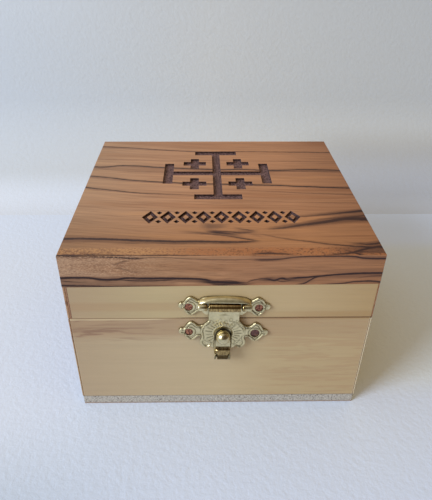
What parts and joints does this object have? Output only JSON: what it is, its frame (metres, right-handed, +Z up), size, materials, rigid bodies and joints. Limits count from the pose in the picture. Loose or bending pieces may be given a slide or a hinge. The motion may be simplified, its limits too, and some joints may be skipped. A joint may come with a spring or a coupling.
{
  "type": "keepsake box",
  "caption": "Small wooden keepsake box with a thick engraved olive wood lid, pale front boards, rear butt hinges and a brass hasp with a ball-ended catch tongue.",
  "frame": {"origin": "middle of the underside of the bottom panel", "axes": "+X to the right seen from the front, +Y to the back, +Z up through the lid"},
  "size_m": [0.1, 0.0968, 0.0677],
  "materials": {
    "olive_wood": "oiled olive wood, satin",
    "pale_wood": "pale sapwood boards, smooth and satin",
    "fibreboard": "raw grey fibreboard, matt",
    "brass": "pale lacquered pressed brass",
    "nail_metal": "dull copper-coloured nail heads"
  },
  "bodies": {
    "base": {"bottom_panel": "fibreboard", "base_front_board": "pale_wood", "base_back_board": "pale_wood", "base_left_board": "olive_wood", "base_right_board": "olive_wood", "catch_plate": "brass", "catch_tongue_pin": "brass", "catch_nail_1": "nail_metal", "catch_nail_2": "nail_metal", "hinge_left_base_leaf": "brass", "hinge_right_base_leaf": "brass", "hinge_left_pin": "brass", "hinge_right_pin": "brass", "hinge_base_nail_1": "nail_metal", "hinge_base_nail_2": "nail_metal", "hinge_base_nail_3": "nail_metal", "hinge_base_nail_4": "nail_metal"},
    "lid": {"lid_top_slab": "olive_wood", "lid_front_board": "pale_wood", "lid_back_board": "pale_wood", "lid_left_board": "olive_wood", "lid_right_board": "olive_wood", "hasp_plate": "brass", "hasp_pin": "brass", "hasp_nail_1": "nail_metal", "hasp_nail_2": "nail_metal", "hinge_left_lid_leaf": "brass", "hinge_right_lid_leaf": "brass", "hinge_lid_nail_1": "nail_metal", "hinge_lid_nail_2": "nail_metal", "hinge_lid_nail_3": "nail_metal", "hinge_lid_nail_4": "nail_metal"},
    "leaf": {"hasp_leaf": "brass"},
    "tongue": {"catch_tongue": "brass"}
  },
  "joints": [
    {"name": "lid_open", "type": "hinge", "parent": "base", "child": "lid", "pos_m": [0, 0.0455, 0.0424], "axis": [-1, 0, 0], "range_deg": [0, 175]},
    {"name": "leaf_swing", "type": "hinge", "parent": "lid", "child": "leaf", "pos_m": [0.00113, -0.0463, 0.04905], "axis": [-0.9997, 0, 0.0244], "range_deg": [0, 170]},
    {"name": "tongue_flip", "type": "hinge", "parent": "base", "child": "tongue", "pos_m": [0.00078, -0.0466, 0.0277], "axis": [1, 0, 0], "range_deg": [0, 165]}
  ]
}
